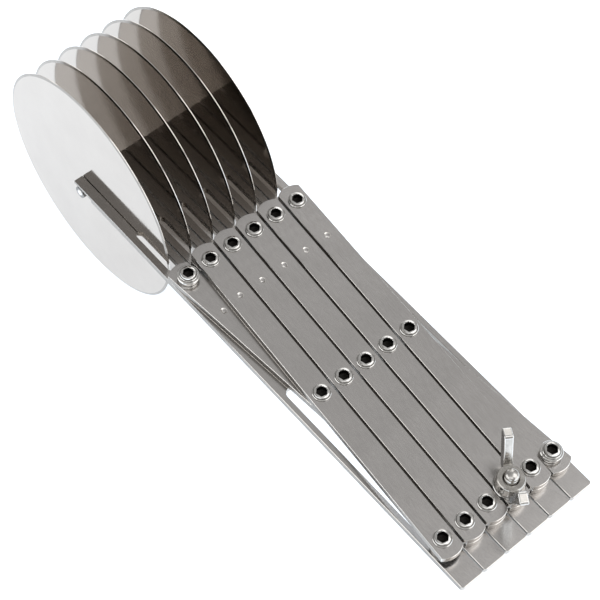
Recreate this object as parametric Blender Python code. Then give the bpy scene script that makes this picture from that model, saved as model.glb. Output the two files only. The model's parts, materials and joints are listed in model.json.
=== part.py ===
"""Pastry cutter wheel: six steel discs on six parallel arms, spread by a lazy-tongs lattice of ten links.

Metres, +Z up. The tool stands on its discs and on the tails of its arms, so the lattice leans back.
Inside the lattice frame +X runs from the axles to the tails, +Y from column 1 to column 6, and
z = 0 is the top face of the arms.
"""

import math

import bmesh
import bpy

MM = 0.001

# Columns and discs
COLUMNS = 6
PITCH = 15.0
WHEEL_RADIUS = 69.85
WHEEL_THICKNESS = 1.0
WHEEL_BEVEL = 1.5
WHEEL_EDGE = 0.3
WHEEL_SIDES = 48
DISC_FACE_Y = -1.0
AXLE_Z = -5.5
AXLE_RADIUS = 2.0
AXLE_NUT_RADIUS = 4.04
AXLE_HEAD_HEIGHT = 2.8
AXLE_NUT_HEIGHT = 3.1

# Arms
ARM_WIDTH = 14.0
ARM_THICKNESS = 4.0
ARM_FRONT_X = -5.0
ARM_TAIL_X = 302.4
TAIL_SLOT_START = 166.0
TAIL_SLOT_END = 285.0
TAIL_SLOT_HALF = 3.8
DISC_SLOT_START = 42.5
DISC_SLOT_END = 74.0
DISC_SLOT_HALF = 3.0
FLANGE_THICKNESS = 1.7
FLANGE_END_X = 10.0
EAR_THICKNESS = 2.4
EAR_DEPTH = 10.5
EAR_FRONT_X = -4.4
EAR_BACK_X = 9.0
RUNNING_GAP = 0.3

# Links and their pivots
WHEEL_ROW_X = 84.8
TAIL_ROW_X = 279.1
LINK_WIDTH = 13.6
LINK_THICKNESS = 3.8
LINK_END_RADIUS = 10.5
LOWER_LINK_Z = 0.3
UPPER_LINK_Z = 4.4
DIMPLE_FROM_PIVOT = 27.0
PIN_RADIUS = 3.5
PIN_HOLE_RADIUS = 3.6
STUD_RADIUS = 3.6
STUD_HOLE_RADIUS = 3.7
ROUND_SIDES = 16
HEAD_Z = 8.5
HEAD_FLANGE_RADIUS = 4.95
HEAD_RING_RADIUS = 4.5
HEAD_TOP_Z = 10.2
SOCKET_RADIUS = 3.0
SOCKET_DEPTH = 3.2
NUT_RADIUS = 5.6
NUT_HEIGHT = 3.0
SPACER_RADIUS = 5.2
SPACER_LIP_RADIUS = 6.0
SPACER_LIP_HEIGHT = 1.1

# Clamp
CLAMP_COLUMN = 4
WASHER_RADIUS = 8.2
WASHER_THICKNESS = 1.2
STUD_TOP_Z = 21.5
NUT_BASE_Z = 10.0
NUT_BASE_RADIUS = 8.0
NUT_BOSS_HEIGHT = 6.4
NUT_BOSS_RADIUS = 7.3
WING_SPAN_HALF = 21.0
WING_TOP = 21.2
WING_THICKNESS = 4.8
WING_TURN = -32.0

LINK_RUN = TAIL_ROW_X - WHEEL_ROW_X
LINK_LENGTH = math.hypot(LINK_RUN, PITCH)
LINK_TILT = math.atan2(PITCH, LINK_RUN)
MID_ROW_X = (WHEEL_ROW_X + TAIL_ROW_X) / 2


def lattice_lean():
    """The angle at which the discs and the arms' tail edges stand on one plane."""
    lean = 0.0
    for _ in range(40):
        drop = WHEEL_RADIUS - (ARM_THICKNESS + AXLE_Z) * math.cos(lean)
        lean = math.asin(drop / ARM_TAIL_X)
    return lean


LEAN = lattice_lean()


def column_y(column):
    """Centre line of an arm, counted 1 to COLUMNS."""
    return (column - (COLUMNS + 1) / 2) * PITCH


def clear_scene():
    for obj in list(bpy.data.objects):
        bpy.data.objects.remove(obj, do_unlink=True)


def circle(radius, sides, centre=(0.0, 0.0), phase=0.0):
    """Points of a circle, anticlockwise."""
    points = []
    for i in range(sides):
        angle = phase + 2 * math.pi * i / sides
        points.append((centre[0] + radius * math.cos(angle), centre[1] + radius * math.sin(angle)))
    return points


def hexagon(radius, phase=0.0):
    """Six corners and the six edge middles, so that it joins a ring of twelve points."""
    corners = circle(radius, 6, phase=phase)
    points = []
    for i in range(6):
        x0, y0 = corners[i]
        x1, y1 = corners[(i + 1) % 6]
        points.append((x0, y0))
        points.append(((x0 + x1) / 2, (y0 + y1) / 2))
    return points


def arc(centre, radius, start, end, steps):
    """Points of an arc from one angle to another, both ends included."""
    points = []
    for i in range(steps + 1):
        angle = start + (end - start) * i / steps
        points.append((centre[0] + radius * math.cos(angle), centre[1] + radius * math.sin(angle)))
    return points


def slot_outline(x0, x1, half):
    """A slot along X with round ends."""
    right = arc((x1 - half, 0.0), half, -math.pi / 2, math.pi / 2, 6)
    left = arc((x0 + half, 0.0), half, math.pi / 2, 3 * math.pi / 2, 6)
    return right + left


def box_outline(x0, x1, y0, y1):
    return [(x0, y0), (x1, y0), (x1, y1), (x0, y1)]


def mesh_from(bm):
    """A mesh whose faces all look outwards."""
    bmesh.ops.recalc_face_normals(bm, faces=bm.faces)
    mesh = bpy.data.meshes.new("solid")
    bm.to_mesh(mesh)
    bm.free()
    return mesh


def stack(levels):
    """Outlines with equal numbers of points joined one above the other, from (z, outline) pairs."""
    bm = bmesh.new()
    rings = []
    for z, outline in levels:
        rings.append([bm.verts.new((x, y, z)) for x, y in outline])
    bm.faces.new(list(reversed(rings[0])))
    bm.faces.new(rings[-1])
    for low, high in zip(rings, rings[1:]):
        for i in range(len(low)):
            j = (i + 1) % len(low)
            bm.faces.new((low[i], low[j], high[j], high[i]))
    return mesh_from(bm)


def prism(outline, z0, z1):
    """A flat outline given a thickness, with the outline's points anticlockwise."""
    return stack([(z0, outline), (z1, outline)])


def turned(profile, sides=ROUND_SIDES, phase=0.0):
    """A solid turned about Z from (radius, z) pairs that rise."""
    return stack([(z, circle(radius, sides, phase=phase)) for radius, z in profile])


def turned_to_y(mesh):
    """Turns a solid's own Z axis to +Y."""
    for vertex in mesh.vertices:
        x, y, z = vertex.co
        vertex.co = (x, z, -y)
    return mesh


def slid(mesh, dx):
    """Moves a solid along its own X."""
    for vertex in mesh.vertices:
        vertex.co.x += dx
    return mesh


def spun(mesh, angle):
    """Turns a solid about its own Z axis."""
    for vertex in mesh.vertices:
        x, y, z = vertex.co
        vertex.co = (
            x * math.cos(angle) - y * math.sin(angle),
            x * math.sin(angle) + y * math.cos(angle),
            z,
        )
    return mesh


def combined(base, others, operation):
    """The base with each other mesh cut away or joined on, as a new mesh."""
    holder = bpy.data.objects.new("holder", base)
    bpy.context.scene.collection.objects.link(holder)
    helpers = []
    for other in others:
        helper = bpy.data.objects.new("helper", other)
        helper.hide_render = True
        helper.display_type = "WIRE"
        bpy.context.scene.collection.objects.link(helper)
        modifier = holder.modifiers.new("join", "BOOLEAN")
        modifier.operation = operation
        modifier.solver = "EXACT"
        modifier.object = helper
        helpers.append(helper)
    graph = bpy.context.evaluated_depsgraph_get()
    result = bpy.data.meshes.new_from_object(holder.evaluated_get(graph))
    for helper in helpers:
        bpy.data.objects.remove(helper, do_unlink=True)
    bpy.data.objects.remove(holder, do_unlink=True)
    return result


def cut(base, *others):
    return combined(base, others, "DIFFERENCE")


def join(base, *others):
    return combined(base, others, "UNION")


def steel(name, colour, roughness):
    made = bpy.data.materials.new(name)
    made.use_nodes = True
    shader = made.node_tree.nodes["Principled BSDF"]
    shader.inputs["Base Color"].default_value = (*colour, 1.0)
    shader.inputs["Metallic"].default_value = 1.0
    shader.inputs["Roughness"].default_value = roughness
    return made


def place(name, mesh, point, look, parent):
    """One node: its own copy of a mesh in millimetres, with its origin on the point of the lattice frame."""
    own = mesh.copy()
    own.name = name
    for vertex in own.vertices:
        vertex.co *= MM
    own.materials.clear()
    own.materials.append(look)
    obj = bpy.data.objects.new(name, own)
    bpy.context.scene.collection.objects.link(obj)
    obj.parent = parent
    obj.location = [value * MM for value in point]
    return obj


def upright(outline, y0, y1):
    """A prism across the arms, from an outline of (x, z) pairs."""
    return turned_to_y(prism([(x, -z) for x, z in outline], y0, y1))


def arm_mesh():
    """A flat bar with two slots. Its front is a fork round the disc, with an ear under each prong for the axle."""
    half = ARM_WIDTH / 2
    corner = 1.2
    left_face = DISC_FACE_Y - RUNNING_GAP
    right_face = DISC_FACE_Y + WHEEL_THICKNESS + RUNNING_GAP
    outline = [
        (ARM_FRONT_X, -half),
        (ARM_TAIL_X - corner, -half),
        (ARM_TAIL_X, -half + corner),
        (ARM_TAIL_X, half - corner),
        (ARM_TAIL_X - corner, half),
        (ARM_FRONT_X, half),
    ]
    bar = prism(outline, -ARM_THICKNESS, 0.0)
    lug_outline = [
        (EAR_FRONT_X, -0.9),
        (EAR_FRONT_X, -EAR_DEPTH + 3.0),
        (EAR_FRONT_X + 3.0, -EAR_DEPTH),
        (EAR_BACK_X - 3.0, -EAR_DEPTH),
        (EAR_BACK_X, -EAR_DEPTH + 3.0),
        (EAR_BACK_X, -0.9),
    ]
    lug = upright(lug_outline, left_face - EAR_THICKNESS - 1.0, right_face + EAR_THICKNESS + 1.0)
    disc_gap = prism(
        box_outline(ARM_FRONT_X - 9.0, DISC_SLOT_START + DISC_SLOT_HALF, left_face, right_face), -30.0, 5.0
    )
    left_pocket = prism(
        box_outline(ARM_FRONT_X - 9.0, FLANGE_END_X, -half - 5.0, left_face - EAR_THICKNESS),
        -30.0,
        -FLANGE_THICKNESS,
    )
    right_pocket = prism(
        box_outline(ARM_FRONT_X - 9.0, FLANGE_END_X, right_face + EAR_THICKNESS, half + 5.0),
        -30.0,
        -FLANGE_THICKNESS,
    )
    disc_slot = prism(slot_outline(DISC_SLOT_START, DISC_SLOT_END, DISC_SLOT_HALF), -9.0, 5.0)
    tail_slot = prism(slot_outline(TAIL_SLOT_START, TAIL_SLOT_END, TAIL_SLOT_HALF), -9.0, 5.0)
    pivot_hole = prism(circle(PIN_HOLE_RADIUS, ROUND_SIDES, (WHEEL_ROW_X, 0.0)), -9.0, 5.0)
    axle_hole = turned_to_y(prism(circle(AXLE_RADIUS + 0.15, ROUND_SIDES, (0.0, -AXLE_Z)), -20.0, 20.0))
    whole = cut(join(bar, lug), disc_gap, left_pocket, right_pocket, disc_slot, tail_slot, pivot_hole)
    whole = cut(whole, axle_hole)
    return slid(whole, -WHEEL_ROW_X)


def link_mesh(mirror, stud_at_tail=False):
    """A flat link whose origin is its wheel-end pivot. It runs to +X, turned by the closed tilt."""
    half = LINK_WIDTH / 2
    spread = math.asin(half / LINK_END_RADIUS)
    far = arc((LINK_LENGTH, 0.0), LINK_END_RADIUS, -spread, spread, 6)
    near = arc((0.0, 0.0), LINK_END_RADIUS, math.pi - spread, math.pi + spread, 6)
    bar = prism(far + near, 0.0, LINK_THICKNESS)
    cutters = []
    for x in (0.0, LINK_LENGTH / 2, LINK_LENGTH):
        radius = STUD_HOLE_RADIUS if stud_at_tail and x == LINK_LENGTH else PIN_HOLE_RADIUS
        cutters.append(prism(circle(radius, ROUND_SIDES, (x, 0.0)), -5.0, 10.0))
    dimple_rings = [
        (LINK_THICKNESS - 0.5, circle(0.8, 8, (DIMPLE_FROM_PIVOT, 0.0))),
        (LINK_THICKNESS + 0.5, circle(2.5, 8, (DIMPLE_FROM_PIVOT, 0.0))),
    ]
    cutters.append(stack(dimple_rings))
    return spun(cut(bar, *cutters), -LINK_TILT if mirror else LINK_TILT)


def wheel_mesh():
    """A thin disc ground from both faces to its edge, with its lowest point straight down."""
    half = WHEEL_THICKNESS / 2
    inner = WHEEL_RADIUS - WHEEL_BEVEL
    phase = math.pi / 2 - LEAN
    profile = [
        (inner, -half),
        (WHEEL_RADIUS, -WHEEL_EDGE / 2),
        (WHEEL_RADIUS, WHEEL_EDGE / 2),
        (inner, half),
    ]
    disc = turned(profile, WHEEL_SIDES, phase)
    bore = prism(circle(AXLE_RADIUS + 0.1, ROUND_SIDES), -5.0, 5.0)
    return turned_to_y(cut(disc, bore))


def axle_bolt_mesh():
    """Hex bolt through both ears and the disc, with its head outside the right ear. Its own +Z becomes +Y."""
    head_start = DISC_FACE_Y + WHEEL_THICKNESS + RUNNING_GAP + EAR_THICKNESS + 0.3
    nut_end = DISC_FACE_Y - RUNNING_GAP - EAR_THICKNESS - 0.3 - AXLE_NUT_HEIGHT
    levels = [
        (nut_end - 0.25, circle(AXLE_RADIUS, 12)),
        (head_start, circle(AXLE_RADIUS, 12)),
        (head_start, hexagon(AXLE_NUT_RADIUS)),
        (head_start + AXLE_HEAD_HEIGHT, hexagon(AXLE_NUT_RADIUS)),
    ]
    return turned_to_y(stack(levels))


def axle_nut_mesh():
    """Hex nut outside the left ear, with a flat up against the flange."""
    nut_start = DISC_FACE_Y - RUNNING_GAP - EAR_THICKNESS - 0.3
    nut = prism(circle(AXLE_NUT_RADIUS, 6), nut_start - AXLE_NUT_HEIGHT, nut_start)
    bore = prism(circle(AXLE_RADIUS + 0.1, ROUND_SIDES), -30.0, 30.0)
    return turned_to_y(cut(nut, bore))


def pivot_mesh(foot_z, with_nut):
    """Socket head shoulder screw. Its nut, where it has one, is joined to it under the arm."""
    levels = []
    if with_nut:
        levels.append((foot_z, hexagon(NUT_RADIUS)))
        levels.append((foot_z + NUT_HEIGHT, hexagon(NUT_RADIUS)))
        levels.append((foot_z + NUT_HEIGHT, circle(PIN_RADIUS, 12)))
    else:
        levels.append((foot_z, circle(PIN_RADIUS, 12)))
    levels.append((HEAD_Z, circle(PIN_RADIUS, 12)))
    levels.append((HEAD_Z, circle(HEAD_FLANGE_RADIUS, 12)))
    levels.append((HEAD_Z + 0.5, circle(HEAD_FLANGE_RADIUS, 12)))
    levels.append((HEAD_Z + 0.9, circle(HEAD_RING_RADIUS, 12)))
    levels.append((HEAD_TOP_Z, circle(HEAD_RING_RADIUS - 0.7, 12)))
    socket = prism(circle(SOCKET_RADIUS, 6, phase=math.pi / 12), HEAD_TOP_Z - SOCKET_DEPTH, HEAD_TOP_Z + 3.0)
    return cut(stack(levels), socket)


def clamp_stud_mesh(foot_z):
    """Stud with a flat round foot under the arm and a domed end above the wing nut."""
    dome = STUD_RADIUS * 0.9
    profile = [
        (NUT_RADIUS, foot_z),
        (NUT_RADIUS, foot_z + NUT_HEIGHT),
        (STUD_RADIUS, foot_z + NUT_HEIGHT),
        (STUD_RADIUS, STUD_TOP_Z - 1.6),
        (dome, STUD_TOP_Z - 0.6),
        (dome * 0.6, STUD_TOP_Z),
    ]
    return turned(profile)


def wing_points():
    """One wing in its own upright plane, as (distance from the stud, height above the base)."""
    return [
        (4.6, 0.5),
        (9.0, 0.5),
        (11.6, 2.0),
        (WING_SPAN_HALF - 0.6, WING_TOP - 3.2),
        (WING_SPAN_HALF, WING_TOP - 1.8),
        (WING_SPAN_HALF - 0.6, WING_TOP - 1.0),
        (WING_SPAN_HALF - 5.6, WING_TOP),
        (WING_SPAN_HALF - 6.6, WING_TOP - 0.5),
        (10.6, 13.5),
        (7.4, NUT_BOSS_HEIGHT + 0.2),
        (6.4, NUT_BOSS_HEIGHT - 0.4),
        (4.6, NUT_BOSS_HEIGHT - 0.5),
    ]


def wing_outline(side):
    return [(side * x, z) for x, z in wing_points()]


def tail_reach():
    """How far the tool reaches towards its tails in the row frame: to the arms' ends, or to the near wing."""
    turn = math.radians(WING_TURN)
    reach = ARM_TAIL_X * math.cos(LEAN)
    for out, up in wing_points():
        along = TAIL_ROW_X + out * math.cos(turn) - WING_THICKNESS / 2 * math.sin(turn)
        reach = max(reach, along * math.cos(LEAN) + (NUT_BASE_Z + up) * math.sin(LEAN))
    return reach


def wing_nut_mesh():
    """Turned boss with two wings that rise outwards, bored for the stud. Its origin is the base's centre."""
    body = turned(
        [
            (NUT_BASE_RADIUS, 0.0),
            (NUT_BASE_RADIUS, 1.6),
            (NUT_BOSS_RADIUS, NUT_BOSS_HEIGHT - 0.5),
            (NUT_BOSS_RADIUS - 0.5, NUT_BOSS_HEIGHT),
        ]
    )
    half = WING_THICKNESS / 2
    wings = [upright(wing_outline(side), -half, half) for side in (-1, 1)]
    bore = prism(circle(STUD_HOLE_RADIUS, ROUND_SIDES), -5.0, 30.0)
    return spun(cut(join(body, *wings), bore), math.radians(WING_TURN))


def ring_mesh(outer, inner, thickness):
    """A plain washer."""
    ring = prism(circle(outer, ROUND_SIDES), 0.0, thickness)
    return cut(ring, prism(circle(inner, ROUND_SIDES), -5.0, 10.0))


def spacer_mesh():
    """Collar as thick as a link, with a wider lip under the screw head."""
    lip_start = LINK_THICKNESS - SPACER_LIP_HEIGHT
    collar = turned(
        [
            (SPACER_RADIUS, 0.0),
            (SPACER_RADIUS, lip_start),
            (SPACER_LIP_RADIUS, lip_start),
            (SPACER_LIP_RADIUS, LINK_THICKNESS),
        ]
    )
    return cut(collar, prism(circle(PIN_HOLE_RADIUS, ROUND_SIDES), -5.0, 10.0))


def build():
    clear_scene()
    bar_look = steel("bar_steel", (0.56, 0.55, 0.53), 0.34)
    disc_look = steel("disc_steel", (0.82, 0.82, 0.82), 0.08)
    screw_look = steel("fastener_steel", (0.70, 0.69, 0.67), 0.22)
    bright_look = steel("wing_nut_steel", (0.76, 0.75, 0.73), 0.18)

    lattice = bpy.data.objects.new("lattice_frame", None)
    bpy.context.scene.collection.objects.link(lattice)
    lattice.rotation_euler = (0.0, LEAN, 0.0)
    height = WHEEL_RADIUS - AXLE_Z * math.cos(LEAN)
    front = AXLE_Z * math.sin(LEAN) - WHEEL_RADIUS
    back = tail_reach()
    lattice.location = (-(front + back) / 2 * MM, 0.0, height * MM)

    arm = arm_mesh()
    wheel = wheel_mesh()
    bolt = axle_bolt_mesh()
    nut = axle_nut_mesh()
    under_nut_z = -ARM_THICKNESS - RUNNING_GAP - NUT_HEIGHT
    through = pivot_mesh(under_nut_z, True)
    middle = pivot_mesh(LOWER_LINK_Z + 0.3, False)
    spacer = spacer_mesh()
    for column in range(1, COLUMNS + 1):
        y = column_y(column)
        place(f"arm_{column}", arm, (WHEEL_ROW_X, y, 0.0), bar_look, lattice)
        place(f"wheel_{column}", wheel, (0.0, y + DISC_FACE_Y + WHEEL_THICKNESS / 2, AXLE_Z), disc_look, lattice)
        place(f"axle_bolt_{column}", bolt, (0.0, y, AXLE_Z), screw_look, lattice)
        place(f"axle_nut_{column}", nut, (0.0, y, AXLE_Z), screw_look, lattice)
        place(f"wheel_pivot_{column}", through, (WHEEL_ROW_X, y, 0.0), screw_look, lattice)
        if column != CLAMP_COLUMN:
            place(f"tail_pivot_{column}", through, (TAIL_ROW_X, y, 0.0), screw_look, lattice)

    upper = link_mesh(True)
    lower = link_mesh(False)
    upper_clamp = link_mesh(True, stud_at_tail=True)
    lower_clamp = link_mesh(False, stud_at_tail=True)
    for column in range(1, COLUMNS):
        y = column_y(column)
        upper_kind = upper_clamp if column == CLAMP_COLUMN else upper
        lower_kind = lower_clamp if column + 1 == CLAMP_COLUMN else lower
        place(f"lower_link_{column}", lower_kind, (WHEEL_ROW_X, y, LOWER_LINK_Z), bar_look, lattice)
        place(f"upper_link_{column}", upper_kind, (WHEEL_ROW_X, y + PITCH, UPPER_LINK_Z), bar_look, lattice)
        place(f"mid_pivot_{column}", middle, (MID_ROW_X, y + PITCH / 2, 0.0), screw_look, lattice)

    first = column_y(1)
    last = column_y(COLUMNS)
    place("spacer_wheel_first", spacer, (WHEEL_ROW_X, first, UPPER_LINK_Z), screw_look, lattice)
    place("spacer_wheel_last", spacer, (WHEEL_ROW_X, last, LOWER_LINK_Z), screw_look, lattice)
    place("spacer_tail_first", spacer, (TAIL_ROW_X, first, LOWER_LINK_Z), screw_look, lattice)
    place("spacer_tail_last", spacer, (TAIL_ROW_X, last, UPPER_LINK_Z), screw_look, lattice)

    clamp_y = column_y(CLAMP_COLUMN)
    washer = ring_mesh(WASHER_RADIUS, STUD_HOLE_RADIUS, WASHER_THICKNESS)
    place("clamp_stud", clamp_stud_mesh(under_nut_z), (TAIL_ROW_X, clamp_y, 0.0), screw_look, lattice)
    place("clamp_washer", washer, (TAIL_ROW_X, clamp_y, HEAD_Z), screw_look, lattice)
    place("wing_nut", wing_nut_mesh(), (TAIL_ROW_X, clamp_y, NUT_BASE_Z), bright_look, lattice)


build()
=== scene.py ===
import json
import math

import bmesh
import bpy
from mathutils import Matrix, Vector


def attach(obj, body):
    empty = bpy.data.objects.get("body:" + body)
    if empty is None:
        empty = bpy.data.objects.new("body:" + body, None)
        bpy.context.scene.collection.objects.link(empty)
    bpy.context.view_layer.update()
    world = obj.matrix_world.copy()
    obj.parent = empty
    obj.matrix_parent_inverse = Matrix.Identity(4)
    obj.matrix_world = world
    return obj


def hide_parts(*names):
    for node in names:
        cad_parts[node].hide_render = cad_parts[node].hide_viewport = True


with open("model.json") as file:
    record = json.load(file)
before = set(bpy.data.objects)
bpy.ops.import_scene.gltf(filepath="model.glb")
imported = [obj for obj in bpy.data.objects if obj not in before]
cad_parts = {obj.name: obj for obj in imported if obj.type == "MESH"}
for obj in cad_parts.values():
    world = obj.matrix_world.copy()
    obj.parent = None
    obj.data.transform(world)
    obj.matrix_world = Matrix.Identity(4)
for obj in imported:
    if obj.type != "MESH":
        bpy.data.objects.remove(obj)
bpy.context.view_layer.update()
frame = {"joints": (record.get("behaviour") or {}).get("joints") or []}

MM = 0.001
COLUMNS = 6
ROOT_COLUMN = 3
CLAMP_COLUMN = 4

# The lattice frame comes from the record's joints: +X to the tails, +Y across, +Z out of the bars' tops.
joints = {joint["name"]: joint for joint in frame["joints"]}
NORMAL = Vector(joints["lattice_spread"]["axis"]).normalized()
ACROSS = Vector((0.0, 1.0, 0.0))
ALONG = ACROSS.cross(NORMAL).normalized()
AXES = Matrix((ALONG, ACROSS, NORMAL)).transposed()
LEAN = math.atan2(NORMAL.x, NORMAL.z)
ROOT_PIVOT = Vector(joints["lattice_spread"]["pos_m"])
MID_PIVOT = Vector(joints["upper_link_3_turn"]["pos_m"])
WHEEL_AXLE = Vector(joints["wheel_3_spin"]["pos_m"])

PITCH = 2 * (MID_PIVOT - ROOT_PIVOT).dot(ACROSS) / MM
LINK_RUN = 2 * (MID_PIVOT - ROOT_PIVOT).dot(ALONG) / MM
LINK_LENGTH = math.hypot(LINK_RUN, PITCH)
LINK_TILT = math.atan2(PITCH, LINK_RUN)
AXLE_BACK = (ROOT_PIVOT - WHEEL_AXLE).dot(ALONG) / MM
AXLE_DROP = (ROOT_PIVOT - WHEEL_AXLE).dot(NORMAL) / MM
WHEEL_RADIUS = WHEEL_AXLE.z / MM
TAIL_PIVOT_X = AXLE_BACK + LINK_RUN

# The driving dimensions, in millimetres, shared with the solids where both have the feature
ARM_WIDTH = 14.0
ARM_THICKNESS = 4.0
ARM_FRONT_X = -5.0
ARM_TAIL_X = 302.4
ARM_CORNER = 1.6
TAIL_SLOT_START = 166.0
TAIL_SLOT_END = 285.0
TAIL_SLOT_HALF = 3.8
DISC_SLOT_START = 42.5
DISC_SLOT_END = 74.0
DISC_SLOT_HALF = 3.0
FLANGE_THICKNESS = 1.7
FLANGE_END_X = 10.0
EAR_THICKNESS = 2.4
EAR_DEPTH = 10.5
EAR_FRONT_X = -4.4
EAR_BACK_X = 9.0
EAR_TOP_Z = -0.9
EAR_CORNER = 3.0
GAP = 0.3
DISC_FACE_Y = -1.0
WHEEL_THICKNESS = 1.0
WHEEL_BEVEL = 1.5
WHEEL_EDGE = 0.3
AXLE_RADIUS = 2.0
AXLE_NUT_RADIUS = 4.04
AXLE_HEAD_HEIGHT = 2.8
AXLE_NUT_HEIGHT = 3.1
LINK_WIDTH = 13.6
LINK_THICKNESS = 3.8
LINK_END_RADIUS = 10.5
LOWER_LINK_Z = 0.3
UPPER_LINK_Z = 4.4
DIMPLE_FROM_PIVOT = 27.0
DIMPLE_PROFILE = ((-0.36, 0.4), (-0.32, 0.9), (-0.2, 1.35), (0.0, 1.6), (0.3, 1.75))
PIN_RADIUS = 3.5
PIN_HOLE_RADIUS = 3.6
HEAD_Z = 8.5
HEAD_FLANGE_RADIUS = 4.95
HEAD_GROOVE_OUTER = 4.5
HEAD_GROOVE_INNER = 4.25
HEAD_TOP_Z = 10.2
SOCKET_RADIUS = 3.0
SOCKET_DEPTH = 3.2
SOCKET_TURN = math.pi / 12
SCREW_SIDES = 72
NUT_RADIUS = 5.6
NUT_HEIGHT = 3.0
SPACER_RADIUS = 5.2
SPACER_LIP_RADIUS = 6.0
SPACER_LIP_HEIGHT = 1.1
STUD_RADIUS = 3.6
STUD_HOLE_RADIUS = 3.7
STUD_TOP_Z = 21.5
THREAD_START_Z = 14.0
THREAD_TURNS = 4
THREAD_PITCH = 1.25
DOME_HEIGHT = 1.9
DOME_STEPS = 9
WASHER_RADIUS = 8.2
WASHER_THICKNESS = 1.2
NUT_BASE_Z = 10.0
NUT_BASE_RADIUS = 8.0
NUT_BOSS_HEIGHT = 6.4
NUT_BOSS_RADIUS = 7.3
WING_SPAN_HALF = 21.0
WING_TOP = 21.2
WING_THICKNESS = 4.8
BAR_BEVEL = 0.19
WING_BEVEL = 0.7
UNDER_NUT_Z = -ARM_THICKNESS - GAP - NUT_HEIGHT
FORK_LEFT_Y = DISC_FACE_Y - GAP
FORK_RIGHT_Y = DISC_FACE_Y + WHEEL_THICKNESS + GAP
AXLE_HEAD_Y = FORK_RIGHT_Y + EAR_THICKNESS + GAP
AXLE_NUT_Y = FORK_LEFT_Y - EAR_THICKNESS - GAP - AXLE_NUT_HEIGHT

# Angles, in degrees
WING_TURN = -32.0
SHARP_ANGLE = 30.0

# The place of a bevel's look among its piece's looks, and the noise's own roughness
BEVEL_LOOK = 2
GRAIN_ROUGHNESS = 0.6

# The cutters' sides, the steps of the arms' corners, and where the cutters start and end, in millimetres
CUT_SIDES = 48
CORNER_STEPS = 6
HOLE_CUT = (-9.0, 5.0)
FRONT_CUT_START_X = ARM_FRONT_X - 9.0
FRONT_CUT_Z = -30.0
LINK_CUT = (-5.0, 10.0)

# The camera: its lens and its place in millimetres, and its directions, all in the lattice frame
LENS = 109.6
SENSOR_WIDTH = 36.0
CAMERA_VIEW = Vector((-0.37116, 0.37801, -0.84814))
CAMERA_DOWN = Vector((0.66066, -0.53434, -0.52727))
CAMERA_PLACE = (485.016, -360.527, 811.697)

# The floor, in millimetres, and the colours of its glow and of the sky
FLOOR_HALF = 4000.0
FLOOR_BOTTOM_Z = -20.0
FLOOR_TOP_Z = -0.05
PAPER_GLOW = (0.87, 0.93, 1.0, 1.0)
PAPER_GLOW_STRENGTH = 0.92
SKY_COLOUR = (1.0, 0.99, 0.98, 1.0)

# The softboxes, in metres and watts: each one's name, place, size and power
LIT_POINT = Vector((0.0, 0.0, 0.05))
SOFTBOXES = (
    ("left_softbox", (-0.42, -1.35, 0.80), (1.8, 1.3), 10.5),
    ("tail_softbox", (1.6, 0.68, 0.30), (1.4, 0.9), 5.0),
    ("high_tail_softbox", (0.98, 0.67, 1.34), (1.2, 1.2), 5.5),
    ("camera_side_softbox", (1.07, -0.85, 1.45), (1.3, 1.3), 5.0),
    ("far_softbox", (-1.3, 1.1, 0.7), (1.4, 0.8), 3.5),
    ("far_high_softbox", (-0.66, 1.18, 1.33), (0.8, 0.8), 2.2),
)


def column_y(column):
    return (column - (COLUMNS + 1) / 2) * PITCH


def lattice_point(x, y, z):
    """Where a point of the lattice frame lies. Its millimetres start at the row's middle, above the axles."""
    base = ROOT_PIVOT - ACROSS * column_y(ROOT_COLUMN) * MM
    return base + ALONG * (x - AXLE_BACK) * MM + ACROSS * y * MM + NORMAL * z * MM


# ---------------------------------------------------------------- meshes, in millimetres


def circle(radius, sides, centre=(0.0, 0.0)):
    points = []
    for i in range(sides):
        angle = 2 * math.pi * i / sides
        points.append((centre[0] + radius * math.cos(angle), centre[1] + radius * math.sin(angle)))
    return points


def arc(centre, radius, start, end, steps):
    points = []
    for i in range(steps + 1):
        angle = start + (end - start) * i / steps
        points.append((centre[0] + radius * math.cos(angle), centre[1] + radius * math.sin(angle)))
    return points


def slot_outline(x0, x1, half):
    steps = 20
    right = arc((x1 - half, 0.0), half, -math.pi / 2, math.pi / 2, steps)
    left = arc((x0 + half, 0.0), half, math.pi / 2, 3 * math.pi / 2, steps)
    return right + left


def box_outline(x0, x1, y0, y1):
    return [(x0, y0), (x1, y0), (x1, y1), (x0, y1)]


def mesh_from(bm):
    bmesh.ops.recalc_face_normals(bm, faces=bm.faces)
    mesh = bpy.data.meshes.new("piece")
    bm.to_mesh(mesh)
    bm.free()
    return mesh


def stack(levels):
    """Outlines with equal numbers of points joined one above the other, from (z, outline) pairs."""
    bm = bmesh.new()
    rings = []
    for z, outline in levels:
        rings.append([bm.verts.new((x, y, z)) for x, y in outline])
    bm.faces.new(list(reversed(rings[0])))
    bm.faces.new(rings[-1])
    for low, high in zip(rings, rings[1:]):
        for i in range(len(low)):
            j = (i + 1) % len(low)
            bm.faces.new((low[i], low[j], high[j], high[i]))
    return mesh_from(bm)


def prism(outline, z0, z1):
    return stack([(z0, outline), (z1, outline)])


def turned(profile, sides=64):
    return stack([(z, circle(radius, sides)) for radius, z in profile])


def turned_to_y(mesh):
    for vertex in mesh.vertices:
        x, y, z = vertex.co
        vertex.co = (x, z, -y)
    return mesh


def spun(mesh, angle):
    """Turns a mesh about its own Z axis."""
    c = math.cos(angle)
    s = math.sin(angle)
    for vertex in mesh.vertices:
        x, y, z = vertex.co
        vertex.co = (x * c - y * s, x * s + y * c, z)
    return mesh


def slid(mesh, dx):
    for vertex in mesh.vertices:
        vertex.co.x += dx
    return mesh


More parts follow.
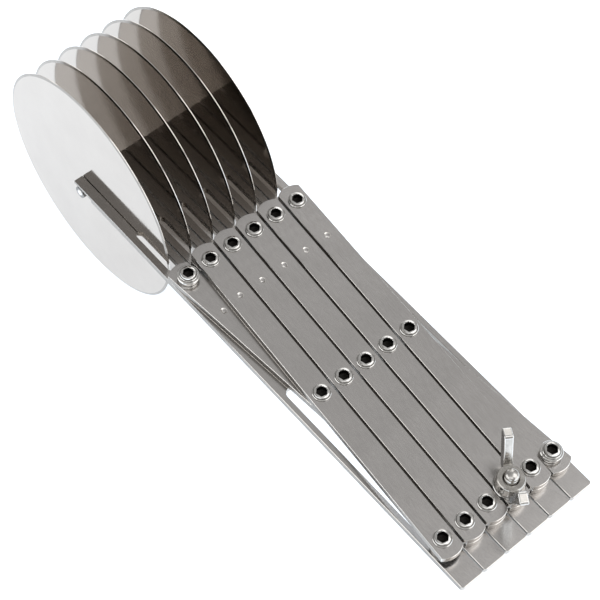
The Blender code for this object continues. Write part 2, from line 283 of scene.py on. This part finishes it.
def combined(base, others, operation):
    """The base mesh after one exact Boolean with each of the others, in order."""
    holder = bpy.data.objects.new("holder", base)
    bpy.context.scene.collection.objects.link(holder)
    helpers = []
    for other in others:
        helper = bpy.data.objects.new("helper", other)
        bpy.context.scene.collection.objects.link(helper)
        modifier = holder.modifiers.new("join", "BOOLEAN")
        modifier.operation = operation
        modifier.solver = "EXACT"
        modifier.object = helper
        helpers.append(helper)
    graph = bpy.context.evaluated_depsgraph_get()
    result = bpy.data.meshes.new_from_object(holder.evaluated_get(graph))
    for helper in helpers:
        bpy.data.objects.remove(helper, do_unlink=True)
    bpy.data.objects.remove(holder, do_unlink=True)
    return result


def cut(base, *others):
    return combined(base, others, "DIFFERENCE")


def join(base, *others):
    return combined(base, others, "UNION")


# ---------------------------------------------------------------- materials


def new_material(name):
    made = bpy.data.materials.new(name)
    made.use_nodes = True
    tree = made.node_tree
    shader = tree.nodes["Principled BSDF"]
    return made, tree, shader


def add(tree, kind, **settings):
    node = tree.nodes.new(kind)
    for key, value in settings.items():
        setattr(node, key, value)
    return node


def even(scale):
    return (scale, scale, scale)


def grain(tree, scale, detail=3.0, turn=(0.0, 0.0, 0.0)):
    """Noise in the piece's own coordinates, turned to lie along it and stretched by the three scales."""
    coords = add(tree, "ShaderNodeTexCoord")
    turning = add(tree, "ShaderNodeMapping")
    turning.inputs["Rotation"].default_value = turn
    mapping = add(tree, "ShaderNodeMapping")
    mapping.inputs["Scale"].default_value = scale
    noise = add(tree, "ShaderNodeTexNoise")
    noise.inputs["Scale"].default_value = 1.0
    noise.inputs["Detail"].default_value = detail
    noise.inputs["Roughness"].default_value = GRAIN_ROUGHNESS
    tree.links.new(coords.outputs["Object"], turning.inputs["Vector"])
    tree.links.new(turning.outputs["Vector"], mapping.inputs["Vector"])
    tree.links.new(mapping.outputs["Vector"], noise.inputs["Vector"])
    return noise.outputs["Fac"]


def remap(tree, value, low, high, start=0.3, end=0.7):
    node = add(tree, "ShaderNodeMapRange")
    node.inputs["From Min"].default_value = start
    node.inputs["From Max"].default_value = end
    node.inputs["To Min"].default_value = low
    node.inputs["To Max"].default_value = high
    tree.links.new(value, node.inputs["Value"])
    return node.outputs["Result"]


def blend_colour(tree, factor, dark, light):
    node = add(tree, "ShaderNodeMix", data_type="RGBA")
    node.inputs["A"].default_value = (*dark, 1.0)
    node.inputs["B"].default_value = (*light, 1.0)
    tree.links.new(factor, node.inputs["Factor"])
    return node.outputs["Result"]


def steel(name, dark, light, rough, scale, bump=0.0, fine=0.0, turn=(0.0, 0.0, 0.0)):
    """Steel whose colour and roughness follow a stretched grain, with a finer grain as bump."""
    made, tree, shader = new_material(name)
    shader.inputs["Metallic"].default_value = 1.0
    streaks = grain(tree, scale, turn=turn)
    cloud = grain(tree, even(60.0), detail=2.0)
    tone = remap(tree, streaks, 0.0, 1.0)
    tree.links.new(blend_colour(tree, tone, dark, light), shader.inputs["Base Color"])
    base = remap(tree, streaks, rough[0], rough[1])
    drift = remap(tree, cloud, -0.02, 0.02)
    total = add(tree, "ShaderNodeMath", operation="ADD")
    tree.links.new(base, total.inputs[0])
    tree.links.new(drift, total.inputs[1])
    tree.links.new(total.outputs["Value"], shader.inputs["Roughness"])
    if bump:
        speckle = grain(tree, even(fine), detail=2.0)
        raised = add(tree, "ShaderNodeBump")
        raised.inputs["Strength"].default_value = bump
        raised.inputs["Distance"].default_value = 0.00002
        tree.links.new(speckle, raised.inputs["Height"])
        tree.links.new(raised.outputs["Normal"], shader.inputs["Normal"])
    return made


def satin(name, turn):
    """The bars' satin steel, with its grain lengthwise once the piece's own coordinates are turned."""
    dark = (0.555, 0.538, 0.523)
    light = (0.60, 0.582, 0.567)
    return steel(name, dark, light, (0.19, 0.22), (260.0, 1700.0, 900.0), bump=0.10, fine=1800.0, turn=turn)


ARM_SATIN = satin("satin_arm_steel", (0.0, -LEAN, 0.0))
LOW_SATIN = satin("satin_lower_link_steel", (0.0, 0.0, -LINK_TILT))
TOP_SATIN = satin("satin_upper_link_steel", (0.0, 0.0, LINK_TILT))
# Polished steel for the chamfers and the disc rims, coloured much lighter than the bars' satin as a painted
# highlight.
EDGE = steel(
    "polished_edge_with_painted_highlight",
    dark=(0.76, 0.73, 0.69),
    light=(0.82, 0.79, 0.75),
    rough=(0.12, 0.18),
    scale=even(120.0),
)
# Sheared steel for the bars' sides, coloured darker than the tops partly as painted shade.
SIDE = steel(
    "sheared_bar_side_with_painted_shade",
    dark=(0.43, 0.405, 0.375),
    light=(0.53, 0.50, 0.465),
    rough=(0.20, 0.28),
    scale=(160.0, 160.0, 700.0),
)
# Painted shade: the long sides that face the next bar are coloured dark for the shade in the gaps.
PAINTED_GAP_SHADE = steel(
    "painted_shade_bar_side",
    dark=(0.23, 0.217, 0.20),
    light=(0.32, 0.302, 0.28),
    rough=(0.24, 0.32),
    scale=(160.0, 160.0, 700.0),
)
MIRROR = steel(
    "mirror_disc",
    dark=(0.45, 0.413, 0.378),
    light=(0.48, 0.443, 0.405),
    rough=(0.05, 0.10),
    scale=(35.0, 30.0, 35.0),
)
# Ground steel for the discs' bevels, darkened below the mirror faces partly as painted shade along the rims.
GROUND_BEVEL_SHADE = steel(
    "ground_disc_bevel_with_painted_shade",
    dark=(0.27, 0.25, 0.23),
    light=(0.35, 0.33, 0.305),
    rough=(0.18, 0.26),
    scale=even(300.0),
)
SCREW = steel(
    "turned_screw_steel",
    dark=(0.60, 0.59, 0.57),
    light=(0.74, 0.73, 0.71),
    rough=(0.08, 0.15),
    scale=even(500.0),
)
# Painted shade: the socket's walls and floor are coloured near-black for the shade in the recess.
SOCKET_SHADE = steel(
    "painted_shade_socket",
    dark=(0.010, 0.009, 0.008),
    light=(0.03, 0.028, 0.026),
    rough=(0.45, 0.6),
    scale=even(900.0),
)
# Painted shade: the head's groove is coloured darker than the turned steel.
GROOVE_SHADE = steel(
    "painted_shade_groove",
    dark=(0.22, 0.21, 0.20),
    light=(0.32, 0.31, 0.30),
    rough=(0.3, 0.4),
    scale=even(900.0),
)
CAST = steel(
    "cast_wing_steel",
    dark=(0.40, 0.385, 0.36),
    light=(0.57, 0.55, 0.52),
    rough=(0.14, 0.22),
    scale=even(260.0),
    bump=0.25,
    fine=700.0,
)
# Painted shade: the wings' broad sides are coloured darker than their narrow faces.
WING_SIDE_SHADE = steel(
    "painted_shade_wing_side",
    dark=(0.21, 0.20, 0.19),
    light=(0.37, 0.355, 0.34),
    rough=(0.2, 0.3),
    scale=even(200.0),
    bump=0.3,
    fine=900.0,
)
STUD = steel(
    "turned_stud_steel",
    dark=(0.46, 0.445, 0.425),
    light=(0.62, 0.605, 0.58),
    rough=(0.18, 0.27),
    scale=even(500.0),
)
# The axle nut's steel, coloured far darker than the bolt's.
DARK_NUT_STEEL = steel(
    "dark_axle_nut",
    dark=(0.05, 0.047, 0.044),
    light=(0.26, 0.25, 0.24),
    rough=(0.12, 0.22),
    scale=even(420.0),
)


# ---------------------------------------------------------------- pieces


def finish_faces(mesh, looks, sorter=None):
    """Sets the looks. The sorter says which one each face takes, and without it they all take the first."""
    mesh.materials.clear()
    for look in looks:
        mesh.materials.append(look)
    for polygon in mesh.polygons:
        polygon.material_index = sorter(polygon) if sorter else 0
    return mesh


def bar_weight(edge):
    """A bar's +Y edges are only deburred, and its other edges are chamfered."""
    return 0.3 if max(face.normal.y for face in edge.link_faces) > 0.5 else 1.0


def wing_weight(edge):
    """The wings' edges are rounded where they stand clear of the boss."""
    nearest = min(math.hypot(vertex.co.x, vertex.co.y) for vertex in edge.verts)
    return 1.0 if nearest > NUT_BOSS_RADIUS + 0.05 else 0.0


def weigh_edges(mesh, weigh):
    """Gives each sharp edge its share of the bevel's width."""
    bm = bmesh.new()
    bm.from_mesh(mesh)
    weight = bm.edges.layers.float.new("bevel_weight_edge")
    for edge in bm.edges:
        if len(edge.link_faces) != 2 or edge.calc_face_angle() < math.radians(SHARP_ANGLE):
            continue
        edge[weight] = weigh(edge)
    bm.to_mesh(mesh)
    bm.free()
    return mesh


def piece(
    name, mesh, point, body, node, bevel=0.0, segments=1, angle=SHARP_ANGLE, axes=AXES, flat=False
):
    """A shown piece for one CAD node, placed in the lattice frame. It rides on the node's body."""
    own = mesh.copy()
    own.name = name
    for vertex in own.vertices:
        vertex.co *= MM
    own.update()
    obj = bpy.data.objects.new(name, own)
    bpy.context.scene.collection.objects.link(obj)
    place = axes.to_4x4()
    place.translation = lattice_point(*point)
    obj.matrix_world = place
    for polygon in own.polygons:
        polygon.use_smooth = not flat
    if bevel:
        modifier = obj.modifiers.new("edges", "BEVEL")
        modifier.width = bevel * MM
        modifier.segments = segments
        modifier.limit_method = "WEIGHT"
        modifier.harden_normals = not flat
        modifier.material = BEVEL_LOOK
        modifier.use_clamp_overlap = False
    own.set_sharp_from_angle(angle=math.radians(angle))
    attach(obj, body)
    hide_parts(node)


def upright(outline, y0, y1):
    """A prism across the arms, from an outline of (x, z) pairs."""
    return turned_to_y(prism([(x, -z) for x, z in outline], y0, y1))


def arm_mesh():
    """A slotted bar with a forked front, and an ear under each prong."""
    half = ARM_WIDTH / 2
    corner_x = ARM_TAIL_X - ARM_CORNER
    outline = [(ARM_FRONT_X, -half)]
    outline += arc((corner_x, -half + ARM_CORNER), ARM_CORNER, -math.pi / 2, 0.0, CORNER_STEPS)
    outline += arc((corner_x, half - ARM_CORNER), ARM_CORNER, 0.0, math.pi / 2, CORNER_STEPS)
    outline += [(ARM_FRONT_X, half)]
    bar = prism(outline, -ARM_THICKNESS, 0.0)
    corner_z = -EAR_DEPTH + EAR_CORNER
    lug_outline = [(EAR_FRONT_X, EAR_TOP_Z), (EAR_FRONT_X, corner_z)]
    lug_outline += arc((EAR_FRONT_X + EAR_CORNER, corner_z), EAR_CORNER, -math.pi, -math.pi / 2, CORNER_STEPS)
    lug_outline += arc((EAR_BACK_X - EAR_CORNER, corner_z), EAR_CORNER, -math.pi / 2, 0.0, CORNER_STEPS)
    lug_outline += [(EAR_BACK_X, EAR_TOP_Z)]
    left_ear = FORK_LEFT_Y - EAR_THICKNESS
    right_ear = FORK_RIGHT_Y + EAR_THICKNESS
    lug = upright(lug_outline, left_ear - 1.0, right_ear + 1.0)
    gap_end = DISC_SLOT_START + DISC_SLOT_HALF
    gap_outline = box_outline(FRONT_CUT_START_X, gap_end, FORK_LEFT_Y, FORK_RIGHT_Y)
    disc_gap = prism(gap_outline, FRONT_CUT_Z, HOLE_CUT[1])
    left_outline = box_outline(FRONT_CUT_START_X, FLANGE_END_X, -half - 5.0, left_ear)
    left_pocket = prism(left_outline, FRONT_CUT_Z, -FLANGE_THICKNESS)
    right_outline = box_outline(FRONT_CUT_START_X, FLANGE_END_X, right_ear, half + 5.0)
    right_pocket = prism(right_outline, FRONT_CUT_Z, -FLANGE_THICKNESS)
    disc_slot = prism(slot_outline(DISC_SLOT_START, DISC_SLOT_END, DISC_SLOT_HALF), *HOLE_CUT)
    tail_slot = prism(slot_outline(TAIL_SLOT_START, TAIL_SLOT_END, TAIL_SLOT_HALF), *HOLE_CUT)
    pivot_hole = prism(circle(PIN_HOLE_RADIUS, CUT_SIDES, (AXLE_BACK, 0.0)), *HOLE_CUT)
    axle_circle = circle(AXLE_RADIUS + 0.15, CUT_SIDES, (0.0, AXLE_DROP))
    axle_hole = turned_to_y(prism(axle_circle, -20.0, 20.0))
    whole = cut(join(bar, lug), disc_gap, left_pocket, right_pocket, disc_slot, tail_slot, pivot_hole)
    return slid(cut(whole, axle_hole), -AXLE_BACK)


def bar_face(polygon):
    """0 on the flats, 3 on the long sides that face the next bar, 1 on every other side. Look 3 is painted
    shade for the gaps between the bars, look 1 is side steel darkened partly as painted shade, and the
    bevels' look 2 is lightened as a painted highlight.
    """
    if abs(polygon.normal.z) > 0.9:
        return 0
    return 3 if abs(polygon.normal.y) > 0.98 else 1


def leaned(mesh):
    """Turns a mesh from the lattice frame to the row frame, so that its own box is as small as it can be."""
    for vertex in mesh.vertices:
        vertex.co = AXES @ vertex.co
    return mesh


def link_mesh(mirror, stud_at_tail):
    """A flat bar with round ends, three holes and a dimple, turned to its place in the lattice."""
    half = LINK_WIDTH / 2
    spread = math.asin(half / LINK_END_RADIUS)
    steps = 48
    far = arc((LINK_LENGTH, 0.0), LINK_END_RADIUS, -spread, spread, steps)
    near = arc((0.0, 0.0), LINK_END_RADIUS, math.pi - spread, math.pi + spread, steps)
    bar = prism(far + near, 0.0, LINK_THICKNESS)
    cutters = []
    for x in (0.0, LINK_LENGTH / 2, LINK_LENGTH):
        radius = STUD_HOLE_RADIUS if stud_at_tail and x == LINK_LENGTH else PIN_HOLE_RADIUS
        cutters.append(prism(circle(radius, CUT_SIDES, (x, 0.0)), *LINK_CUT))
    rings = []
    for z, radius in DIMPLE_PROFILE:
        rings.append((LINK_THICKNESS + z, circle(radius, 32, (DIMPLE_FROM_PIVOT, 0.0))))
    cutters.append(stack(rings))
    bar = cut(bar, *cutters)
    return spun(bar, -LINK_TILT if mirror else LINK_TILT)


def link_face(polygon):
    """The same as bar_face, but 0 in the dimple too."""
    centre = polygon.center
    from_dimple = abs(math.hypot(centre.x, centre.y) - DIMPLE_FROM_PIVOT)
    in_dimple = from_dimple < 2.0 and centre.z > LINK_THICKNESS - 0.8
    return 0 if in_dimple else bar_face(polygon)


def wheel_mesh():
    """A thin disc with a bore, and a bevel on both sides of its rim."""
    half = WHEEL_THICKNESS / 2
    inner = WHEEL_RADIUS - WHEEL_BEVEL
    sides = 240
    bore = AXLE_RADIUS + 0.1
    hub = 12.0
    profile = [
        (bore, -half),
        (hub, -half),
        (inner, -half),
        (WHEEL_RADIUS, -WHEEL_EDGE / 2),
        (WHEEL_RADIUS, WHEEL_EDGE / 2),
        (inner, half),
        (hub, half),
        (bore, half),
    ]
    bm = bmesh.new()
    rings = []
    for radius, z in profile:
        rings.append([bm.verts.new((x, y, z)) for x, y in circle(radius, sides)])
    for index, low in enumerate(rings):
        high = rings[(index + 1) % len(rings)]
        for i in range(sides):
            j = (i + 1) % sides
            bm.faces.new((low[i], low[j], high[j], high[i]))
    return turned_to_y(mesh_from(bm))


def disc_face(polygon):
    """0 on the flats, 1 on the ground bevel, darkened partly as painted shade, 2 on the narrow rim, lightened
    as a painted highlight.
    """
    centre = polygon.center
    reach = math.hypot(centre.x, centre.z)
    if reach < WHEEL_RADIUS - WHEEL_BEVEL:
        return 0
    return 1 if reach < WHEEL_RADIUS - 0.1 else 2


def hexagon(radius):
    """A hexagon drawn with more points along its edges, so that it joins a round ring."""
    points = []
    apothem = radius * math.cos(math.pi / 6)
    for i in range(SCREW_SIDES):
        angle = SOCKET_TURN + 2 * math.pi * i / SCREW_SIDES
        off = (angle - SOCKET_TURN) % (math.pi / 3) - math.pi / 6
        reach = apothem / math.cos(off)
        points.append((reach * math.cos(angle), reach * math.sin(angle)))
    return points


def chamfered_nut(radius, height, z0, bore=None):
    """Hex nut with its corners turned off at both faces."""
    blank = prism(circle(radius, 6), z0, z0 + height)
    face_reach = radius * math.cos(math.pi / 6) * 0.99
    corner_reach = radius * 1.06
    chamfer = 0.14 * radius
    cone = turned(
        [
            (face_reach, z0 - 0.01),
            (corner_reach, z0 + chamfer),
            (corner_reach, z0 + height - chamfer),
            (face_reach, z0 + height + 0.01),
        ],
        CUT_SIDES,
    )
    made = combined(blank, [cone], "INTERSECT")
    if bore:
        made = cut(made, prism(circle(bore, CUT_SIDES), z0 - 5.0, z0 + height + 5.0))
    return made


def pivot_mesh(foot_z, with_nut):
    """Socket screw: a washer face, a groove, and a crowned head with a hexagon socket."""
    head = turned(
        [
            (PIN_RADIUS, foot_z),
            (PIN_RADIUS, HEAD_Z),
            (HEAD_FLANGE_RADIUS - 0.1, HEAD_Z),
            (HEAD_FLANGE_RADIUS, HEAD_Z + 0.1),
            (HEAD_FLANGE_RADIUS, HEAD_Z + 0.4),
            (HEAD_FLANGE_RADIUS - 0.22, HEAD_Z + 0.62),
            (HEAD_GROOVE_OUTER, HEAD_Z + 0.62),
            (HEAD_GROOVE_OUTER - 0.1, HEAD_Z + 0.3),
            (HEAD_GROOVE_INNER, HEAD_Z + 0.3),
            (HEAD_GROOVE_INNER - 0.03, HEAD_Z + 1.1),
            (HEAD_GROOVE_INNER - 0.22, HEAD_TOP_Z - 0.18),
            (HEAD_GROOVE_INNER - 0.55, HEAD_TOP_Z),
        ],
        SCREW_SIDES,
    )
    lead = stack(
        [
            (HEAD_TOP_Z - SOCKET_DEPTH - 0.6, circle(0.4, SCREW_SIDES)),
            (HEAD_TOP_Z - SOCKET_DEPTH, hexagon(SOCKET_RADIUS)),
            (HEAD_TOP_Z - 0.22, hexagon(SOCKET_RADIUS)),
            (HEAD_TOP_Z + 0.3, hexagon(SOCKET_RADIUS + 0.5)),
        ]
    )
    made = cut(head, lead)
    if with_nut:
        made = join(made, chamfered_nut(NUT_RADIUS, NUT_HEIGHT, foot_z))
    return made


def screw_face(polygon):
    """0 on the turned outside, 1 inside the socket, coloured near-black as painted shade, 2 in the groove,
    darkened as painted shade.
    """
    centre = polygon.center
    reach = math.hypot(centre.x, centre.y)
    socket_floor = HEAD_TOP_Z - SOCKET_DEPTH - 0.7
    if reach < SOCKET_RADIUS + 0.02 and socket_floor < centre.z < HEAD_TOP_Z - 0.1:
        return 1
    in_groove_ring = HEAD_GROOVE_INNER - 0.02 < reach < HEAD_GROOVE_OUTER + 0.02
    in_groove_depth = HEAD_Z + 0.25 < centre.z < HEAD_Z + 0.61
    return 2 if in_groove_ring and in_groove_depth else 0


def axle_bolt_mesh():
    """Hex bolt through both ears and the disc, with its head outside the right ear."""
    shank = turned(
        [
            (AXLE_RADIUS - 0.4, AXLE_NUT_Y - 0.25),
            (AXLE_RADIUS, AXLE_NUT_Y + 0.1),
            (AXLE_RADIUS, AXLE_HEAD_Y + 1.0),
        ]
    )
    return turned_to_y(join(shank, chamfered_nut(AXLE_NUT_RADIUS, AXLE_HEAD_HEIGHT, AXLE_HEAD_Y)))


def axle_nut_mesh():
    return turned_to_y(chamfered_nut(AXLE_NUT_RADIUS, AXLE_NUT_HEIGHT, AXLE_NUT_Y, AXLE_RADIUS + 0.1))


def clamp_stud_mesh(foot_z):
    """A stud with a round foot, a few turned rings for its thread, and a domed end."""
    profile = [
        (NUT_RADIUS - 0.3, foot_z),
        (NUT_RADIUS, foot_z + 0.3),
        (NUT_RADIUS, foot_z + NUT_HEIGHT),
        (STUD_RADIUS, foot_z + NUT_HEIGHT),
    ]
    for i in range(THREAD_TURNS):
        z = THREAD_START_Z + i * THREAD_PITCH
        profile += [(STUD_RADIUS - 0.35, z + 0.3), (STUD_RADIUS, z + 0.9)]
    for i in range(DOME_STEPS):
        angle = math.pi / 2 * i / DOME_STEPS
        height = STUD_TOP_Z - DOME_HEIGHT + DOME_HEIGHT * math.sin(angle)
        profile.append((STUD_RADIUS * math.cos(angle) * 0.98, height))
    profile.append((0.15, STUD_TOP_Z))
    return turned(profile)


def wing_outline(side):
    """One wing in its own upright plane, as (distance from the stud, height above the base)."""
    points = [
        (4.6, 0.5),
        (9.0, 0.5),
        (10.5, 1.1),
        (11.6, 2.0),
        (16.2, 10.2),
        (WING_SPAN_HALF - 0.6, WING_TOP - 3.2),
        (WING_SPAN_HALF, WING_TOP - 1.8),
        (WING_SPAN_HALF - 0.6, WING_TOP - 1.0),
        (WING_SPAN_HALF - 5.6, WING_TOP),
        (WING_SPAN_HALF - 6.6, WING_TOP - 0.5),
        (10.6, 13.5),
        (8.6, 9.2),
        (7.4, NUT_BOSS_HEIGHT + 0.2),
        (6.4, NUT_BOSS_HEIGHT - 0.4),
        (4.6, NUT_BOSS_HEIGHT - 0.5),
    ]
    return [(side * x, z) for x, z in points]


def wing_nut_mesh():
    body = turned(
        [
            (NUT_BASE_RADIUS - 0.3, 0.0),
            (NUT_BASE_RADIUS, 0.3),
            (NUT_BASE_RADIUS, 1.4),
            (NUT_BASE_RADIUS - 0.15, 1.9),
            (NUT_BOSS_RADIUS + 0.05, NUT_BOSS_HEIGHT - 0.9),
            (NUT_BOSS_RADIUS - 0.1, NUT_BOSS_HEIGHT - 0.4),
            (NUT_BOSS_RADIUS - 0.5, NUT_BOSS_HEIGHT),
        ]
    )
    half = WING_THICKNESS / 2
    wings = [upright(wing_outline(side), -half, half) for side in (-1, 1)]
    bore = turned(
        [
            (STUD_HOLE_RADIUS, -5.0),
            (STUD_HOLE_RADIUS, NUT_BOSS_HEIGHT - 0.8),
            (STUD_HOLE_RADIUS + 1.2, NUT_BOSS_HEIGHT + 0.4),
        ]
    )
    return spun(cut(join(body, *wings), bore), math.radians(WING_TURN))


def wing_face(polygon):
    """0 on the boss and the wings' narrow faces, 1 on their broad sides, darkened as painted shade."""
    turn = math.radians(WING_TURN)
    broad = abs(polygon.normal.y * math.cos(turn) - polygon.normal.x * math.sin(turn)) > 0.95
    beyond_boss = math.hypot(polygon.center.x, polygon.center.y) > NUT_BASE_RADIUS
    return 1 if broad and beyond_boss else 0


def ring_mesh(outer, inner, thickness):
    ring = turned([(outer - 0.2, 0.0), (outer, 0.2), (outer, thickness - 0.2), (outer - 0.2, thickness)])
    return cut(ring, prism(circle(inner, CUT_SIDES), *LINK_CUT))


def spacer_mesh():
    """Collar as thick as a link, with a wider lip under the screw head."""
    lip_start = LINK_THICKNESS - SPACER_LIP_HEIGHT
    collar = turned(
        [
            (SPACER_RADIUS - 0.2, 0.0),
            (SPACER_RADIUS, 0.2),
            (SPACER_RADIUS, lip_start),
            (SPACER_LIP_RADIUS - 0.1, lip_start),
            (SPACER_LIP_RADIUS, lip_start + 0.1),
            (SPACER_LIP_RADIUS, LINK_THICKNESS - 0.3),
            (SPACER_LIP_RADIUS - 0.3, LINK_THICKNESS),
        ]
    )
    return cut(collar, prism(circle(PIN_HOLE_RADIUS, CUT_SIDES), *LINK_CUT))


def bar_finish(mesh, look, sorter):
    """The looks and the weighed edges that the arms and the links share."""
    return finish_faces(weigh_edges(mesh, bar_weight), [look, SIDE, EDGE, PAINTED_GAP_SHADE], sorter)


def add_columns():
    """Each column's arm, disc, axle and screws."""
    arm = leaned(bar_finish(arm_mesh(), ARM_SATIN, bar_face))
    wheel = finish_faces(wheel_mesh(), [MIRROR, GROUND_BEVEL_SHADE, EDGE], disc_face)
    bolt = finish_faces(axle_bolt_mesh(), [SCREW])
    nut = finish_faces(axle_nut_mesh(), [DARK_NUT_STEEL])
    screw = finish_faces(pivot_mesh(UNDER_NUT_Z, True), [SCREW, SOCKET_SHADE, GROOVE_SHADE], screw_face)
    level = Matrix.Identity(3)
    for column in range(1, COLUMNS + 1):
        y = column_y(column)
        body = f"arm_{column}"
        disc = f"wheel_{column}"
        front = (AXLE_BACK, y, 0.0)
        axle = (0.0, y, -AXLE_DROP)
        centre = (0.0, y + DISC_FACE_Y + WHEEL_THICKNESS / 2, -AXLE_DROP)
        piece(f"bar_{column}", arm, front, body, body, BAR_BEVEL, axes=level, flat=True)
        piece(f"disc_{column}", wheel, centre, disc, disc, angle=2.0, axes=level)
        piece(f"disc_bolt_{column}", bolt, axle, body, f"axle_bolt_{column}")
        piece(f"disc_nut_{column}", nut, axle, body, f"axle_nut_{column}")
        piece(f"front_screw_{column}", screw, front, body, f"wheel_pivot_{column}")
        if column != CLAMP_COLUMN:
            rides = "lower_link_5" if column == COLUMNS else f"upper_link_{column}"
            tail = (TAIL_PIVOT_X, y, 0.0)
            piece(f"tail_screw_{column}", screw, tail, rides, f"tail_pivot_{column}")


def add_links():
    """The links, the screws where they cross, and the collars at the lattice's corners."""
    links = {}
    for mirror, look in ((True, TOP_SATIN), (False, LOW_SATIN)):
        for stud in (True, False):
            links[mirror, stud] = bar_finish(link_mesh(mirror, stud), look, link_face)
    screw = finish_faces(pivot_mesh(LOWER_LINK_Z + GAP, False), [SCREW, SOCKET_SHADE, GROOVE_SHADE], screw_face)
    for column in range(1, COLUMNS):
        y = column_y(column)
        lower = links[False, column + 1 == CLAMP_COLUMN]
        upper = links[True, column == CLAMP_COLUMN]
        low_body = f"lower_link_{column}"
        top_body = f"upper_link_{column}"
        low = (AXLE_BACK, y, LOWER_LINK_Z)
        top = (AXLE_BACK, y + PITCH, UPPER_LINK_Z)
        middle = (AXLE_BACK + LINK_RUN / 2, y + PITCH / 2, 0.0)
        piece(f"low_link_{column}", lower, low, low_body, low_body, BAR_BEVEL, flat=True)
        piece(f"top_link_{column}", upper, top, top_body, top_body, BAR_BEVEL, flat=True)
        piece(f"mid_screw_{column}", screw, middle, top_body, f"mid_pivot_{column}")

    first = column_y(1)
    last = column_y(COLUMNS)
    spacer = finish_faces(spacer_mesh(), [SCREW])
    for name, point, body in (
        ("spacer_wheel_first", (AXLE_BACK, first, UPPER_LINK_Z), "arm_1"),
        ("spacer_wheel_last", (AXLE_BACK, last, LOWER_LINK_Z), "arm_6"),
        ("spacer_tail_first", (TAIL_PIVOT_X, first, LOWER_LINK_Z), "upper_link_1"),
        ("spacer_tail_last", (TAIL_PIVOT_X, last, UPPER_LINK_Z), "lower_link_5"),
    ):
        piece(name.replace("spacer", "collar"), spacer, point, body, name)


def add_clamp():
    """The stud that clamps the setting, with its washer and its wing nut."""
    y = column_y(CLAMP_COLUMN)
    body = f"upper_link_{CLAMP_COLUMN}"
    stud = finish_faces(clamp_stud_mesh(UNDER_NUT_Z), [STUD])
    washer = finish_faces(ring_mesh(WASHER_RADIUS, STUD_HOLE_RADIUS, WASHER_THICKNESS), [SCREW])
    # The wings' rounded edges take the bright screw steel as a painted highlight.
    wings = finish_faces(weigh_edges(wing_nut_mesh(), wing_weight), [CAST, WING_SIDE_SHADE, SCREW], wing_face)
    base = (TAIL_PIVOT_X, y, NUT_BASE_Z)
    piece("threaded_stud", stud, (TAIL_PIVOT_X, y, 0.0), body, "clamp_stud")
    piece("flat_washer", washer, (TAIL_PIVOT_X, y, HEAD_Z), body, "clamp_washer")
    piece("wing_nut_body", wings, base, "wing_nut", "wing_nut", WING_BEVEL, segments=4)


# ---------------------------------------------------------------- studio


def look_along(direction, down):
    """Rotation of a camera or light that looks along direction, with down as its picture's down."""
    back = -direction.normalized()
    right = direction.cross(-down).normalized()
    up = back.cross(right).normalized()
    return Matrix((right, up, back)).transposed()


def add_camera():
    camera = bpy.data.cameras.new("photo_camera")
    camera.lens = LENS
    camera.sensor_width = SENSOR_WIDTH
    camera.clip_start = 0.01
    camera.clip_end = 50.0
    obj = bpy.data.objects.new("photo_camera", camera)
    bpy.context.scene.collection.objects.link(obj)
    place = look_along(AXES @ CAMERA_VIEW, AXES @ CAMERA_DOWN).to_4x4()
    place.translation = lattice_point(*CAMERA_PLACE)
    obj.matrix_world = place
    bpy.context.scene.camera = obj


def area_light(name, location, size, power):
    light = bpy.data.lights.new(name, "AREA")
    light.shape = "RECTANGLE"
    light.size = size[0]
    light.size_y = size[1]
    light.energy = power
    obj = bpy.data.objects.new(name, light)
    bpy.context.scene.collection.objects.link(obj)
    direction = (LIT_POINT - Vector(location)).normalized()
    obj.location = location
    obj.rotation_euler = direction.to_track_quat("-Z", "Y").to_euler()


def add_floor():
    outline = box_outline(-FLOOR_HALF, FLOOR_HALF, -FLOOR_HALF, FLOOR_HALF)
    mesh = prism(outline, FLOOR_BOTTOM_Z, FLOOR_TOP_Z)
    for vertex in mesh.vertices:
        vertex.co *= MM
    made, tree, shader = new_material("pale_paper")
    shader.inputs["Roughness"].default_value = 0.9
    shader.inputs["Specular IOR Level"].default_value = 0.1
    mottling = remap(tree, grain(tree, even(9.0)), 0.0, 1.0)
    tone = blend_colour(tree, mottling, dark=(0.80, 0.85, 0.91), light=(0.82, 0.87, 0.93))
    tree.links.new(tone, shader.inputs["Base Color"])
    shader.inputs["Emission Color"].default_value = PAPER_GLOW
    shader.inputs["Emission Strength"].default_value = PAPER_GLOW_STRENGTH
    mesh.materials.append(made)
    floor = bpy.data.objects.new("studio_floor", mesh)
    bpy.context.scene.collection.objects.link(floor)


def add_sky():
    """A grey sky that brightens towards +X, where the tails are, and towards +Y, the far side."""
    world = bpy.data.worlds.new("studio")
    bpy.context.scene.world = world
    world.use_nodes = True
    tree = world.node_tree
    background = tree.nodes["Background"]
    background.inputs["Color"].default_value = SKY_COLOUR
    toward = add(tree, "ShaderNodeTexCoord")
    parts = add(tree, "ShaderNodeSeparateXYZ")
    tree.links.new(toward.outputs["Generated"], parts.inputs["Vector"])
    tailward = remap(tree, parts.outputs["X"], low=0.475, high=0.67, start=-0.04, end=0.08)
    farward = remap(tree, parts.outputs["Y"], low=0.72, high=1.0, start=-0.30, end=0.10)
    glow = add(tree, "ShaderNodeMath", operation="MULTIPLY")
    tree.links.new(tailward, glow.inputs[0])
    tree.links.new(farward, glow.inputs[1])
    tree.links.new(glow.outputs["Value"], background.inputs["Strength"])


add_columns()
add_links()
add_clamp()
add_camera()
add_floor()
add_sky()
for softbox in SOFTBOXES:
    area_light(*softbox)
bpy.context.scene.view_settings.view_transform = "Standard"
bpy.context.view_layer.update()
